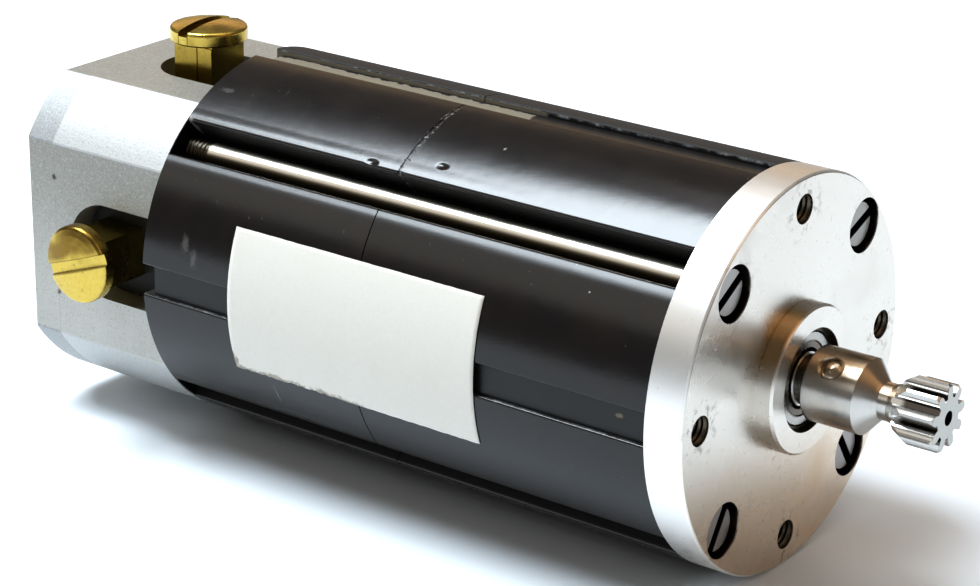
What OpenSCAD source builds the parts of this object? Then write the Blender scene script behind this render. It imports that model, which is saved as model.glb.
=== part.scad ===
// Small brushed dc servo motor with a pinned pinion.
// The shaft lies along X and the pinion points to +X. The origin is the middle of the front mounting face.
// +Z runs up through the top brush cap, and the side brush cap points to -Y.

/* [Body] */
// Diameter of the stator and of the rear end bell
body_d = 33.5; // [32:0.5:36]
// Diameter of the front end bell
front_bell_d = 33.5; // [31.8:0.1:33.5]
// Thickness of the front end bell at its rim
front_bell_t = 3.4; // [3.2:0.1:5]
// Length of the front stack of pole pieces
front_stack_l = 28.8; // [26:0.1:32]
// Length of the rear stack of pole pieces
rear_stack_l = 23.1; // [21:0.1:26]
// Length of the rear end bell without its cover
rear_bell_l = 13; // [13:0.1:15]
// Thickness of the rear cover
rear_cover_t = 3; // [2.8:0.1:4]
// Distance between two opposite flats of the rear end bell
flats_w = 28.1; // [27.6:0.1:29]

/* [Stator] */
// Inner diameter of the ring of pole pieces
bore_d = 20.8; // [20.6:0.1:21.6]
// Thickness of the slab magnets between the pole pieces
magnet_t = 2.65; // [2.2:0.05:3]
// Depth of the magnets below the outer surface
magnet_recess = 0.5; // [0.2:0.1:1]
// How much shorter the magnets are than the stator at the rear
magnet_short = 0.9; // [0:0.1:2]
// Width of the grooves that hold the tie rods
groove_w = 3.3; // [3:0.1:3.6]
// Rounding of the pole pieces along the mouth of the grooves
mouth_rounding = 0.25; // [0.1:0.05:0.8]
// Rounding of the pole pieces along the magnets
edge_rounding = 0.2; // [0.1:0.05:0.4]
// Diameter of the circle that carries the tie rods and the tapped holes
bolt_circle_d = 28.2; // [27.8:0.1:28.6]
// Diameter of the tie rods
rod_d = 2.4; // [2:0.1:2.6]

/* [Front end] */
// Diameter of the pilot boss
pilot_d = 12.5; // [12:0.1:13]
// Height of the pilot boss
pilot_h = 1.6; // [1.2:0.1:2.4]
// Diameter of the recess in front of the bearing
recess_d = 8.7; // [8.4:0.1:9.4]
// Depth of the recess in front of the bearing
recess_depth = 0.6; // [0.3:0.1:1]
// Diameter of the counterbores for the tie rod heads
counterbore_d = 4.7; // [4.4:0.1:5]
// Diameter of the tie rod heads
rod_head_d = 3.7; // [3.4:0.1:4]
// Diameter of the tapped mounting holes
tapped_d = 2.5; // [2.2:0.1:2.8]
// Depth of the tapped mounting holes
tapped_depth = 3; // [2.4:0.1:3]

/* [Brushes] */
// Distance of the brush axes from the front mounting face
brush_x = 62.2; // [61.8:0.1:62.4]
// Side of the square brush holders
holder_w = 4.4; // [4.2:0.1:4.6]
// Side of the square carbon brushes
brush_w = 2.9; // [2.6:0.1:3]
// Diameter of the brush caps
cap_d = 7.04; // [6.6:0.1:7.4]
// Distance of the cap tops from the shaft axis
cap_top = 18.4; // [18.1:0.02:18.8]
// Thickness of the brush caps at the middle of their crown
cap_t = 1.74; // [1.5:0.02:1.9]
// Width of the pockets that the brush holders stand in
pocket_w = 8.8; // [8.6:0.1:9.2]
// How far a brush can be pushed back into its holder
brush_travel = 2; // [1:0.1:2.2]

/* [Rotor] */
// Diameter of the shaft in its bearings
shaft_d = 3.16; // [3.1:0.01:3.17]
// Diameter of the armature core
core_d = 20; // [19.6:0.1:20.2]
// Length of the armature core
core_l = 37.5; // [34:0.5:37.5]
// Number of slots in the armature, and of commutator bars
slots = 13; // [11:2:15]
// Diameter of the commutator
commutator_d = 10.4; // [10:0.1:10.6]

/* [Pinion] */
// Number of teeth
teeth = 9; // [9:1:11]
// Gear module
gear_module = 0.5; // [0.45:0.01:0.5]
// Profile shift of the teeth, in modules
profile_shift = 0.2; // [0:0.05:0.3]
// Diameter of the pinion hub
hub_d = 6.3; // [6:0.1:6.6]
// Diameter of the neck between hub and teeth
neck_d = 3.12; // [3:0.02:3.2]
// Distance from the front mounting face to the end of the teeth
pinion_end = 13.75; // [13:0.05:14]

/* [Label] */
// Length of the blank paper label
label_l = 25.9; // [20:0.1:30]
// Distance of the label from the front mounting face
label_x = 19.6; // [10:0.1:22]
// Thickness of the label
label_t = 0.12; // [0.05:0.01:0.2]

/* [Hidden] */

// Number of sides that round shapes are drawn with
$fn = 96;
// Overlap that makes cuts run clear through a face
cut = 1;
// Gap between two pieces that seat in each other
seat_gap = 0.02;

// Places along the shaft, from front to rear
body_r = body_d / 2;
stator_front = -front_bell_t;
seam_x = stator_front - front_stack_l;
stator_rear = seam_x - rear_stack_l;
bell_rear = stator_rear - rear_bell_l;
cover_rear = bell_rear - rear_cover_t;
seam_gap = 0.1;

// Directions round the shaft, in degrees from +Y towards +Z
pole_angles = [135, 45, -45, -135];
magnet_angles = [90, 0, -90, 180];
rod_slot_angles = [30, 21, -56, 58];
bolt_r = bolt_circle_d / 2;
rod_thread_d = rod_d - 0.4;

// Ball bearing, 3.175 by 7.938 by 3.571
bearing_id = 3.175;
bearing_od = 7.938;
bearing_w = 3.571;
ball_d = 1.5875;
ball_count = 8;
ball_circle_r = 2.78;
race_gap = 0.065;
outer_land_r = 3.15;
inner_land_r = 2.25;
cage_r_in = 2.5;
cage_r_out = 3;
cage_rear = 1.15;
cage_front = 0.35;
shield_t = 0.2;
shield_r_in = 2.57;
front_bearing_x = pilot_h - recess_depth;
rear_bearing_x = bell_rear + 3;
rear_bearing_end = rear_bearing_x - bearing_w;

// Rotor
shaft_r = shaft_d / 2;
shaft_body_r = 2;
shaft_front_x = 6.3;
shaft_step_front = -6;
shaft_step_rear = rear_bearing_x + 0.3;
shaft_rear_x = rear_bearing_end - 0.6;
core_front = -12;
core_rear = core_front - core_l;
end_turn_l = 4.6;
end_turn_r = 9.6;
end_insulator_t = 0.5;
core_skew = 360 / slots;
core_slices = 6;
commutator_front = -55.2;
commutator_rear = rear_bearing_x + 0.6;
commutator_hub_r = 3.1;
riser_r = 6;
riser_l = 1.2;
bar_gap = 0.3;

// Rear end bell
cavity_r = 8.5;
web_front = rear_bearing_x + 0.4;
inlet_z = -7;
inlet_r = 2.2;
cover_screw_r = 12.2;
cover_screw_d = 2;

// Brush stations
holder_bottom = 6.6;
channel_w = brush_w + 0.1;
thread_r = 1.75;
thread_l = 2.1;
cap_bottom = cap_top - cap_t;
holder_seam_w = 0.14;
insulator_bottom = 7.7;
insulator_top = 11.6;
brush_outer_end = 10.5;
brush_plate_t = 0.4;
spring_r = 1.05;
spring_wire_r = 0.14;
spring_turns = 5;

// Pinion
hub_rear = 2.2;
hub_front = 6.85;
neck_start = 8.45;
gear_start = 9.9;
gear_full = 10.9;
pitch_r = gear_module * teeth / 2;
tip_r = pitch_r + gear_module * (1 + profile_shift);
root_r = pitch_r - gear_module * (1.25 - profile_shift);
pressure_angle = 20;
tooth_turn = 8.5;
centre_hole_r = 0.62;
pin_x = 4.3;
pin_r = 0.9;
pin_angle = 129;
pin_mouth_r = 1.1;

// A flat outline drawn in the YZ plane, carried along X from one place to another
module along_x(x_from, x_to) {
    translate([min(x_from, x_to), 0, 0])
        rotate([90, 0, 90])
            linear_extrude(abs(x_to - x_from))
                children();
}

// A shape turned about the X axis: each point is [radius, x]
module turned(points) {
    rotate([90, 0, 90])
        rotate_extrude()
            polygon(points);
}

// A plain ring or disc about the X axis
module ring_x(r_out, r_in, x_from, x_to) {
    turned([[r_in, x_from], [r_out, x_from], [r_out, x_to], [r_in, x_to]]);
}

// A round hole or rod parallel to X, at a radius and an angle
module rod_at(r, angle, d, x_from, x_to) {
    along_x(x_from, x_to)
        rotate(angle)
            translate([r, 0])
                circle(d = d);
}

// Turns a brush station that is built for +Z to its own side
module station(side) {
    rotate([side == "side" ? 90 : 0, 0, 0])
        translate([-brush_x, 0, 0])
            children();
}

// Round bar with four flats, the outline of the rear end bell and its cover
module bell_outline() {
    intersection() {
        circle(body_r);
        square(flats_w, center = true);
    }
}

// Front end bell: turned aluminium disc with pilot boss and bearing seat
module front_end_bell() {
    edge = 0.2;
    rim = front_bell_d / 2;
    seat_r = bearing_od / 2 + seat_gap / 2;
    spigot_r = bore_d / 2 - 0.05;
    spigot_l = 1.2;
    head_seat = -2;
    color("gainsboro")
        difference() {
            turned([
                [seat_r, front_bearing_x],
                [recess_d / 2, front_bearing_x],
                [recess_d / 2, pilot_h],
                [pilot_d / 2 - edge, pilot_h],
                [pilot_d / 2, pilot_h - edge],
                [pilot_d / 2, 0],
                [rim - edge, 0],
                [rim, -edge],
                [rim, stator_front],
                [spigot_r, stator_front],
                [spigot_r, stator_front - spigot_l],
                [spigot_r - 1.6, stator_front - spigot_l],
                [spigot_r - 1.6, stator_front],
                [outer_land_r, stator_front],
                [outer_land_r, front_bearing_x - bearing_w],
                [seat_r, front_bearing_x - bearing_w]
            ]);
            for (a = pole_angles) {
                rod_at(bolt_r, a, counterbore_d, head_seat, cut);
                rod_at(bolt_r, a, rod_d + 0.6, stator_front - cut, head_seat + cut);
            }
            for (a = magnet_angles) {
                rod_at(bolt_r, a, tapped_d, -tapped_depth, cut);
            }
        }
}

// The U-shaped pocket that a brush holder stands in, cut from outside to the cavity
module pocket_cut() {
    pocket_depth = flats_w / 2 + cut - insulator_bottom;
    translate([0, 0, insulator_bottom]) {
        cylinder(h = pocket_depth, r = pocket_w / 2);
        translate([0, -pocket_w / 2, 0])
            cube([brush_x + stator_rear + cut, pocket_w, pocket_depth]);
    }
}

// Rear end bell: round bar with four flats, bored for the commutator and the rear bearing
module rear_end_bell() {
    seat_r = bearing_od / 2 + seat_gap / 2;
    rod_hole_end = stator_rear - 6.2;
    color("silver")
        difference() {
            along_x(stator_rear, bell_rear)
                bell_outline();
            ring_x(cavity_r, 0, web_front, stator_rear + cut);
            ring_x(outer_land_r, 0, bell_rear - cut, web_front + cut);
            ring_x(seat_r, 0, bell_rear - cut, rear_bearing_x);
            station("top") pocket_cut();
            station("side") pocket_cut();
            for (a = pole_angles) {
                rod_at(bolt_r, a, rod_thread_d + seat_gap, rod_hole_end, stator_rear + cut);
                rod_at(cover_screw_r, a, cover_screw_d + seat_gap, bell_rear - cut, bell_rear + 3.7);
            }
            rod_at(-inlet_z, -90, inlet_r * 2, bell_rear - cut, web_front + cut);
        }
}

// Rear cover: thin plate of the same outline that closes the bearing in
module rear_cover() {
    seat_r = bearing_od / 2 + seat_gap / 2;
    washer_floor = rear_bearing_end - 0.7;
    head_r = 1.9;
    head_t = 1.1;
    color("silver")
        difference() {
            along_x(bell_rear, cover_rear)
                bell_outline();
            ring_x(seat_r, 0, washer_floor, bell_rear + cut);
            ring_x(2.7, 0, washer_floor - 0.6, washer_floor + 0.2);
            for (a = pole_angles) {
                rod_at(cover_screw_r, a, cover_screw_d + 0.2, cover_rear - cut, bell_rear + cut);
                rod_at(cover_screw_r, a, head_r * 2 + 0.1, cover_rear - cut, cover_rear + head_t);
            }
            rod_at(-inlet_z, -90, inlet_r * 2, cover_rear - cut, bell_rear + cut);
        }
}

// Four slotted screws that hold the rear cover on
module cover_screws() {
    head_r = 1.9;
    head_t = 1.1;
    slot_w = 0.5;
    slot_depth = 0.5;
    color("dimgray")
        for (a = pole_angles) {
            difference() {
                union() {
                    rod_at(cover_screw_r, a, head_r * 2, cover_rear + 0.1, cover_rear + head_t);
                    rod_at(cover_screw_r, a, cover_screw_d, cover_rear + 0.2, bell_rear + 3.5);
                }
                translate([cover_rear + 0.1, 0, 0])
                    rotate([a, 0, 0])
                        translate([0, cover_screw_r, 0])
                            rotate([a / 3, 0, 0])
                                cube([slot_depth * 2, slot_w, head_r * 3], center = true);
            }
        }
}

// Rubber grommet in the lead inlet of the rear cover
module lead_grommet() {
    hole_r = 1.2;
    flange_r = 2.9;
    groove_r = inlet_r - seat_gap;
    flange_t = 0.8;
    color("black")
        translate([0, 0, inlet_z])
            turned([
                [hole_r, cover_rear - flange_t],
                [flange_r - 0.4, cover_rear - flange_t],
                [flange_r, cover_rear - flange_t + 0.4],
                [flange_r, cover_rear],
                [groove_r, cover_rear],
                [groove_r, bell_rear],
                [hole_r, bell_rear]
            ]);
}

// Four long screws that clamp both end bells on the stator
module tie_rods() {
    head_front = -0.5;
    head_rear = -2;
    slot_w = 0.85;
    slot_depth = 0.8;
    rod_end = stator_rear - 6;
    color("slategray")
        for (i = [0:3]) {
            difference() {
                union() {
                    rod_at(bolt_r, pole_angles[i], rod_head_d, head_rear, head_front);
                    rod_at(bolt_r, pole_angles[i], rod_d, stator_rear, head_rear + 0.5);
                    rod_at(bolt_r, pole_angles[i], rod_thread_d, rod_end, stator_rear + 0.5);
                }
                rotate([pole_angles[i], 0, 0])
                    translate([head_front, bolt_r, 0])
                        rotate([rod_slot_angles[i] - pole_angles[i], 0, 0])
                            cube([slot_depth * 2, rod_head_d * 2, slot_w], center = true);
            }
        }
}

// Waste between the outer surface, a wall beside the X axis and the rounding that joins them
module rounded_away(wall_place, rounding) {
    middle_y = wall_place + rounding;
    middle_x = sqrt(pow(body_r - rounding, 2) - pow(middle_y, 2));
    beyond = (body_r + cut) / (body_r - rounding);
    difference() {
        polygon([
            [middle_x, middle_y],
            [middle_x, wall_place - seat_gap],
            [body_r + cut, wall_place - seat_gap],
            [middle_x * beyond, middle_y * beyond]
        ]);
        translate([middle_x, middle_y])
            circle(rounding);
    }
}

// Outline of one pole piece in the first quadrant, with the tie rod groove in its middle
module pole_outline() {
    magnet_wall = magnet_t / 2 + seat_gap;
    difference() {
        intersection() {
            difference() {
                circle(body_r);
                circle(bore_d / 2);
            }
            translate([magnet_wall, magnet_wall])
                square(body_d);
        }
        rotate(45) {
            translate([bolt_r, 0]) {
                circle(d = groove_w);
                translate([0, -groove_w / 2])
                    square([body_r, groove_w]);
            }
            for (side = [0, 1]) {
                mirror([0, side])
                    rounded_away(groove_w / 2, mouth_rounding);
            }
        }
        rounded_away(magnet_wall, edge_rounding);
        rotate(90)
            mirror([0, 1])
                rounded_away(magnet_wall, edge_rounding);
    }
}

// One pole piece, black painted steel, between two places along the shaft
module pole_piece(angle, x_from, x_to) {
    color([0.12, 0.12, 0.13])
        along_x(x_from, x_to)
            rotate(angle - 45)
                pole_outline();
}

// Pole piece of the front stack, up to the seam
module front_pole(angle) {
    pole_piece(angle, stator_front, seam_x + seam_gap / 2);
}

// Pole piece of the rear stack, from the seam on
module rear_pole(angle) {
    pole_piece(angle, seam_x - seam_gap / 2, stator_rear);
}

// One slab magnet, standing on edge between two pole pieces
module magnet(angle) {
    magnet_in = bore_d / 2 + 0.6;
    magnet_out = sqrt(pow(body_r, 2) - pow(magnet_t / 2, 2)) - magnet_recess;
    color([0.36, 0.33, 0.3])
        along_x(stator_front, stator_rear + magnet_short)
            rotate(angle)
                translate([magnet_in, -magnet_t / 2])
                    square([magnet_out - magnet_in, magnet_t]);
}

// Blank paper label wrapped on the stator
module label() {
    label_start = 156.5;
    label_end = 200.9;
    color("white")
        rotate([90, 0, 90])
            rotate([0, 0, label_start])
                rotate_extrude(angle = label_end - label_start)
                    translate([body_r, -label_x - label_l])
                        square([label_t, label_l]);
}

// Insulating block in the pocket, with a square hole for the brush holder
module brush_insulator(side) {
    fit = 0.05;
    block_h = insulator_top - insulator_bottom;
    color([0.06, 0.06, 0.06])
        station(side)
            translate([0, 0, insulator_bottom])
                difference() {
                    union() {
                        cylinder(h = block_h, r = pocket_w / 2 - fit);
                        translate([0, -pocket_w / 2 + fit, 0])
                            cube([brush_x + stator_rear, pocket_w - 2 * fit, block_h]);
                    }
                    translate([0, 0, block_h / 2])
                        cube([holder_w + seat_gap, holder_w + seat_gap, block_h + cut], center = true);
                }
}

// Square brass holder, threaded inside its outer end, with the seam of its folded wall
module brush_holder(side) {
    holder_h = cap_bottom - holder_bottom;
    channel_top = cap_bottom - thread_l;
    seam_x_place = 0.1 * holder_w;
    color("goldenrod")
        station(side)
            difference() {
                translate([-holder_w / 2, -holder_w / 2, holder_bottom])
                    cube([holder_w, holder_w, holder_h]);
                translate([-channel_w / 2, -channel_w / 2, holder_bottom - cut])
                    cube([channel_w, channel_w, channel_top - holder_bottom + cut]);
                translate([0, 0, channel_top - cut])
                    cylinder(h = thread_l + 2 * cut, r = thread_r);
                translate([seam_x_place, -holder_w / 2 - holder_seam_w, insulator_top])
                    cube([holder_seam_w, holder_seam_w * 2, holder_h]);
                translate([seam_x_place, -holder_w / 2 - holder_seam_w, cap_bottom - 0.25])
                    cube([holder_w, holder_seam_w * 2, cut]);
            }
}

// Slotted brass cap that screws into the holder; its crown runs into the rounded rim without an edge
module brush_cap(side, slot_angle) {
    rim_r = cap_d / 2;
    rounding = 0.35;
    crown_angle = 15;
    plug_r = thread_r - seat_gap;
    plug_l = 1.9;
    slot_w = 1.05;
    slot_depth = 0.88;
    corner_r = rim_r - rounding;
    crown_r = (corner_r + rounding * sin(crown_angle)) / sin(crown_angle);
    corner_z = cap_top - crown_r * (1 - cos(crown_angle)) - rounding * cos(crown_angle);
    corner = [for (a = [0:15:90 - crown_angle]) [corner_r + rounding * cos(a), corner_z + rounding * sin(a)]];
    crown = [for (a = [crown_angle - 2.5:-2.5:2.5]) [crown_r * sin(a), cap_top - crown_r * (1 - cos(a))]];
    color("gold")
        station(side)
            difference() {
                rotate_extrude()
                    polygon(concat(
                        [[0, cap_bottom - plug_l], [plug_r, cap_bottom - plug_l], [plug_r, cap_bottom]],
                        [[rim_r - 0.15, cap_bottom], [rim_r, cap_bottom + 0.15]],
                        corner,
                        crown,
                        [[0, cap_top]]
                    ));
                translate([0, 0, cap_top])
                    rotate([0, 0, slot_angle])
                        cube([cap_d * 2, slot_w, slot_depth * 2], center = true);
            }
}

// Points of one ring of wire on the spring's helix
function wire_ring(i, rings, z_low, pitch) =
    let (turn = 360 * spring_turns * i / rings, sides = 6)
    [for (k = [0:sides - 1])
        let (out = spring_r + spring_wire_r * cos(360 * k / sides))
        [out * cos(turn), out * sin(turn), z_low + pitch * turn / 360 + spring_wire_r * sin(360 * k / sides)]];

// Coil spring that presses the brush on the commutator
module brush_spring(side) {
    sides = 6;
    rings = spring_turns * 14;
    z_low = brush_outer_end + brush_plate_t + spring_wire_r + seat_gap;
    z_high = cap_bottom - 1.9 - spring_wire_r - seat_gap;
    pitch = (z_high - z_low) / spring_turns;
    points = [for (i = [0:rings]) each wire_ring(i, rings, z_low, pitch)];
    walls = [for (i = [0:rings - 1], k = [0:sides - 1])
        [i * sides + k, (i + 1) * sides + k, (i + 1) * sides + (k + 1) % sides, i * sides + (k + 1) % sides]];
    first_end = [for (k = [0:sides - 1]) k];
    last_end = [for (k = [sides - 1:-1:0]) rings * sides + k];
    color("silver")
        station(side)
            polyhedron(points = points, faces = concat(walls, [first_end, last_end]), convexity = 8);
}

// Carbon brush with its hollowed running face
module carbon_brush(side) {
    running_gap = 0.05;
    color([0.2, 0.2, 0.21])
        station(side)
            difference() {
                translate([-brush_w / 2, -brush_w / 2, commutator_d / 2 - 1])
                    cube([brush_w, brush_w, brush_outer_end - commutator_d / 2 + 1]);
                rotate([0, 90, 0])
                    cylinder(h = 2 * brush_w, r = commutator_d / 2 + running_gap, center = true);
            }
}

// Brass plate between the carbon and its spring
module brush_plate(side) {
    color("goldenrod")
        station(side)
            translate([0, 0, brush_outer_end])
                cylinder(h = brush_plate_t, r = 1.35);
}

// Raceway that the balls run in, cut from a ring
module raceway_cut(x_middle) {
    rotate([90, 0, 90])
        rotate_extrude()
            translate([ball_circle_r, x_middle])
                circle(r = ball_d / 2 + race_gap, $fn = 48);
}

// Outer ring of a ball bearing, with its rounded corners and raceway
module bearing_outer(x_front) {
    color("lightgray")
        difference() {
            turned([
                [outer_land_r, x_front],
                [bearing_od / 2 - 0.15, x_front],
                [bearing_od / 2, x_front - 0.15],
                [bearing_od / 2, x_front - bearing_w + 0.15],
                [bearing_od / 2 - 0.15, x_front - bearing_w],
                [outer_land_r, x_front - bearing_w]
            ]);
            raceway_cut(x_front - bearing_w / 2);
        }
}

// Inner ring of a ball bearing
module bearing_inner(x_front) {
    color("lightgray")
        difference() {
            ring_x(inner_land_r, bearing_id / 2, x_front, x_front - bearing_w);
            raceway_cut(x_front - bearing_w / 2);
        }
}

// Two pressed shields, each with a thin lip that snaps into the outer ring
module bearing_shields(x_front) {
    inset = 0.08;
    lip = 0.1;
    color([0.1, 0.1, 0.1])
        for (direction = [-1, 1]) {
            x = x_front - bearing_w / 2 - direction * (bearing_w / 2 - inset);
            turned([
                [shield_r_in, x],
                [outer_land_r - lip, x],
                [outer_land_r - lip, x + direction * shield_t / 2],
                [outer_land_r - seat_gap, x + direction * shield_t / 2],
                [outer_land_r - seat_gap, x + direction * shield_t],
                [shield_r_in, x + direction * shield_t]
            ]);
        }
}

// Balls of a bearing, evenly spread round the ring
module bearing_balls(x_front) {
    color("white")
        for (i = [0:ball_count - 1]) {
            rotate([360 * i / ball_count, 0, 0])
                translate([x_front - bearing_w / 2, ball_circle_r, 0])
                    sphere(d = ball_d);
        }
}

// Crown cage that keeps the balls apart, with its pockets open towards the front
module bearing_cage(x_front) {
    x_middle = x_front - bearing_w / 2;
    color("tan")
        difference() {
            ring_x(cage_r_out, cage_r_in, x_middle + cage_front, x_middle - cage_rear);
            for (i = [0:ball_count - 1]) {
                rotate([360 * i / ball_count, 0, 0])
                    translate([x_middle, ball_circle_r, 0])
                        rotate([90, 0, 0])
                            cylinder(h = 2, d = ball_d + 0.1, center = true);
            }
        }
}

// Bowed spring washer that takes the play out of the bearings
module preload_washer() {
    bow_r = 16;
    washer_t = 0.2;
    washer_r = 3.85;
    color("silver")
        intersection() {
            ring_x(washer_r, 2.95, rear_bearing_end, rear_bearing_end - 1);
            translate([rear_bearing_end - seat_gap - bow_r, 0, 0])
                rotate([90, 0, 0])
                    difference() {
                        cylinder(h = 10, r = bow_r, center = true, $fn = 360);
                        cylinder(h = 11, r = bow_r - washer_t, center = true, $fn = 360);
                    }
        }
}

// Hole for the cross pin, through the pinion's hub and the shaft
module cross_hole() {
    rotate([pin_angle, 0, 0])
        translate([pin_x, 0, 0])
            rotate([90, 0, 0])
                cylinder(h = hub_d * 2, r = pin_r + seat_gap, center = true);
}

// Stepped shaft with a groove for the retaining ring and a cross hole for the pinion's pin
module shaft() {
    groove_front = rear_bearing_end - 0.05;
    groove_rear = groove_front - 0.3;
    color("gray")
        difference() {
            turned([
                [0, shaft_front_x],
                [shaft_r - 0.2, shaft_front_x],
                [shaft_r, shaft_front_x - 0.2],
                [shaft_r, shaft_step_front],
                [shaft_body_r, shaft_step_front],
                [shaft_body_r, shaft_step_rear],
                [shaft_r, shaft_step_rear],
                [shaft_r, groove_front],
                [shaft_r - 0.2, groove_front],
                [shaft_r - 0.2, groove_rear],
                [shaft_r, groove_rear],
                [shaft_r, shaft_rear_x],
                [0, shaft_rear_x]
            ]);
            cross_hole();
        }
}

// Tube that holds the front bearing off the shaft's step
module front_spacer() {
    color("gray")
        ring_x(inner_land_r - 0.05, shaft_r + seat_gap, front_bearing_x - bearing_w, shaft_step_front);
}

// Shim between the shaft's rear step and the rear bearing
module rear_shim() {
    color("gray")
        ring_x(inner_land_r - 0.05, shaft_r + seat_gap, rear_bearing_x, shaft_step_rear);
}

// Ring that keeps the rear bearing on the shaft
module retaining_ring() {
    ring_front = rear_bearing_end - 0.08;
    color("black")
        along_x(ring_front, ring_front - 0.24)
            difference() {
                circle(2.2);
                circle(shaft_r - 0.18);
                translate([0, -0.6])
                    square([3, 1.2]);
            }
}

// One armature slot without its mouth: wide and round outside, narrow and round inside
module slot_outline(inset) {
    outer_place = 7.7;
    outer_r = 1.15 - inset;
    inner_place = 5.2;
    inner_r = 0.7 - inset;
    outer_arc = [for (a = [-100:40:100]) [outer_place + outer_r * cos(a), outer_r * sin(a)]];
    inner_arc = [for (a = [100:40:260]) [inner_place + inner_r * cos(a), inner_r * sin(a)]];
    polygon(concat(outer_arc, inner_arc));
}

// Outline of one lamination: teeth with open slots between them
module core_outline() {
    difference() {
        circle(core_d / 2, $fn = slots * 5);
        for (i = [0:slots - 1]) {
            rotate(360 * i / slots) {
                slot_outline(0);
                translate([7.7, -0.45])
                    square([core_d, 0.9]);
            }
        }
    }
}

// Laminated armature core with skewed slots
module armature_core() {
    color([0.35, 0.36, 0.38])
        difference() {
            translate([core_rear, 0, 0])
                rotate([90, 0, 90])
                    linear_extrude(core_l, twist = core_skew, slices = core_slices)
                        core_outline();
            ring_x(shaft_body_r + seat_gap, 0, core_rear - cut, core_front + cut);
        }
}

// Fibre discs on both ends of the core, slotted like the laminations
module armature_end_insulators() {
    color("darkgreen") {
        along_x(core_rear - end_insulator_t, core_rear)
            end_disc_outline();
        along_x(core_front, core_front + end_insulator_t)
            rotate(-core_skew)
                end_disc_outline();
    }
}

// Outline of one end disc
module end_disc_outline() {
    difference() {
        circle(core_d / 2 - 1);
        circle(shaft_body_r + seat_gap);
        for (i = [0:slots - 1]) {
            rotate(360 * i / slots)
                slot_outline(0);
        }
    }
}

// Copper winding: the bundles in the slots and the end turns on both sides
module armature_windings() {
    wall = 0.12;
    bundle_l = core_l + 2 * end_insulator_t;
    bundle_skew = core_skew * bundle_l / core_l;
    lead_in = core_skew * end_insulator_t / core_l;
    color("peru") {
        translate([core_rear - end_insulator_t, 0, 0])
            rotate([90, 0, 90])
                linear_extrude(bundle_l, twist = bundle_skew, slices = core_slices, $fn = 12)
                    for (i = [0:slots - 1]) {
                        rotate(360 * i / slots + lead_in)
                            slot_outline(wall);
                    }
        end_turns(core_rear - end_insulator_t, -1);
        end_turns(core_front + end_insulator_t, 1);
    }
}

// One bundle of end turns, bulging away from the core
module end_turns(x_start, direction) {
    inner_r = 3.4;
    bulge = [for (a = [0:15:180])
        [(end_turn_r + inner_r) / 2 + (end_turn_r - inner_r) / 2 * cos(a),
            x_start + direction * (1.4 + (end_turn_l - 1.4) * sin(a))]];
    turned(concat([[inner_r, x_start], [end_turn_r, x_start]], bulge));
}

// Moulded hub of the commutator
module commutator_hub() {
    color([0.25, 0.12, 0.08])
        ring_x(commutator_hub_r, shaft_body_r + seat_gap, commutator_rear, commutator_front);
}

// Copper bars of the commutator, each with its riser at the armature end
module commutator_bars() {
    bar_in = commutator_hub_r + seat_gap;
    color([0.72, 0.4, 0.25]) {
        difference() {
            union() {
                ring_x(commutator_d / 2, bar_in, commutator_rear + 0.4, commutator_front);
                ring_x(riser_r, bar_in, commutator_front, commutator_front - riser_l);
            }
            for (i = [0:slots - 1]) {
                rotate([360 * (i + 0.5) / slots, 0, 0])
                    translate([commutator_rear - cut, 0, -bar_gap / 2])
                        cube([commutator_front - commutator_rear + 2 * cut, riser_r + cut, bar_gap]);
            }
        }
    }
}

// Angle between the start of the involute and its point at radius r, in degrees
function involute(r, base_r) = r <= base_r ? 0 : sqrt(pow(r / base_r, 2) - 1) * 180 / PI - acos(base_r / r);

// Half of a tooth's thickness at radius r, as an angle
function half_tooth(r, base_r) =
    let (half_at_pitch = 90 / teeth + 2 * profile_shift * tan(pressure_angle) / teeth * 180 / PI)
    half_at_pitch + involute(pitch_r, base_r) - involute(r, base_r);

// Outline of the spur gear: involute flanks on straight roots
module gear_outline() {
    base_r = pitch_r * cos(pressure_angle);
    steps = 5;
    flank = [for (i = [0:steps])
        let (r = base_r + (tip_r - base_r) * i / steps)
        [r, half_tooth(r, base_r)]];
    profile = concat([[root_r, half_tooth(base_r, base_r) + 1]], flank);
    last = len(profile) - 1;
    points = [for (t = [0:teeth - 1]) each concat(
        [for (i = [0:last])
            let (a = 360 * t / teeth - profile[i][1])
            [profile[i][0] * cos(a), profile[i][0] * sin(a)]],
        [for (i = [last:-1:0])
            let (a = 360 * t / teeth + profile[i][1])
            [profile[i][0] * cos(a), profile[i][0] * sin(a)]]
    )];
    polygon(points);
}

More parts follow.
